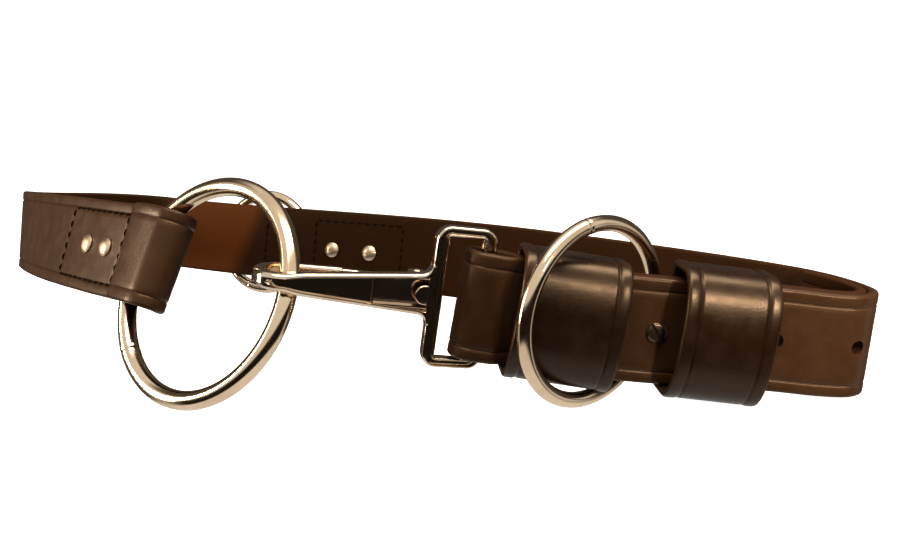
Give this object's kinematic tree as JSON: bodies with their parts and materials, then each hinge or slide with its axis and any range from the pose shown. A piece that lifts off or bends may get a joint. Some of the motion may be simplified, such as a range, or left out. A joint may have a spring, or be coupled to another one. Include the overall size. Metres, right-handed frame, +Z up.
{
  "type": "firefighter belt",
  "caption": "Leather firefighter belt lying in a closed loop, with steel rings, sleeve keepers and a snap hook that closes it at the front.",
  "frame": {"origin": "centre of the belt's box at the level of the table that it lies on", "axes": "+Z up, +X along the belt's longest side towards the sleeve keepers, -Y towards the side with the snap hook"},
  "size_m": [0.4352, 0.2668, 0.091],
  "materials": {
    "leather": "satin, waxed",
    "ring_metal": "polished, warm nickel",
    "snap_metal": "polished",
    "stud_metal": "polished, slightly dulled",
    "screw_metal": "blackened, worn at the slot"
  },
  "bodies": {
    "belt": {"main_strap": "leather", "left_keeper": "leather", "right_keeper": "leather", "back_tab": "leather", "big_ring": "ring_metal", "slide_ring": "ring_metal", "back_ring": "ring_metal", "front_rivet_1": "stud_metal", "front_rivet_2": "stud_metal", "back_rivet_1": "stud_metal", "back_rivet_2": "stud_metal", "adjusting_screw": "screw_metal", "snap_body": "snap_metal", "gate_pin": "snap_metal"},
    "gate": {"snap_gate": "snap_metal"}
  },
  "joints": [
    {"name": "gate_hinge", "type": "hinge", "parent": "belt", "child": "gate", "pos_m": [0.02368, -0.10285, 0.0491], "axis": [0.1375, 0.0012, 0.9905], "range_deg": [0, 18], "stiffness_Nm_per_rad": 0.05, "springref_deg": -11.46}
  ]
}
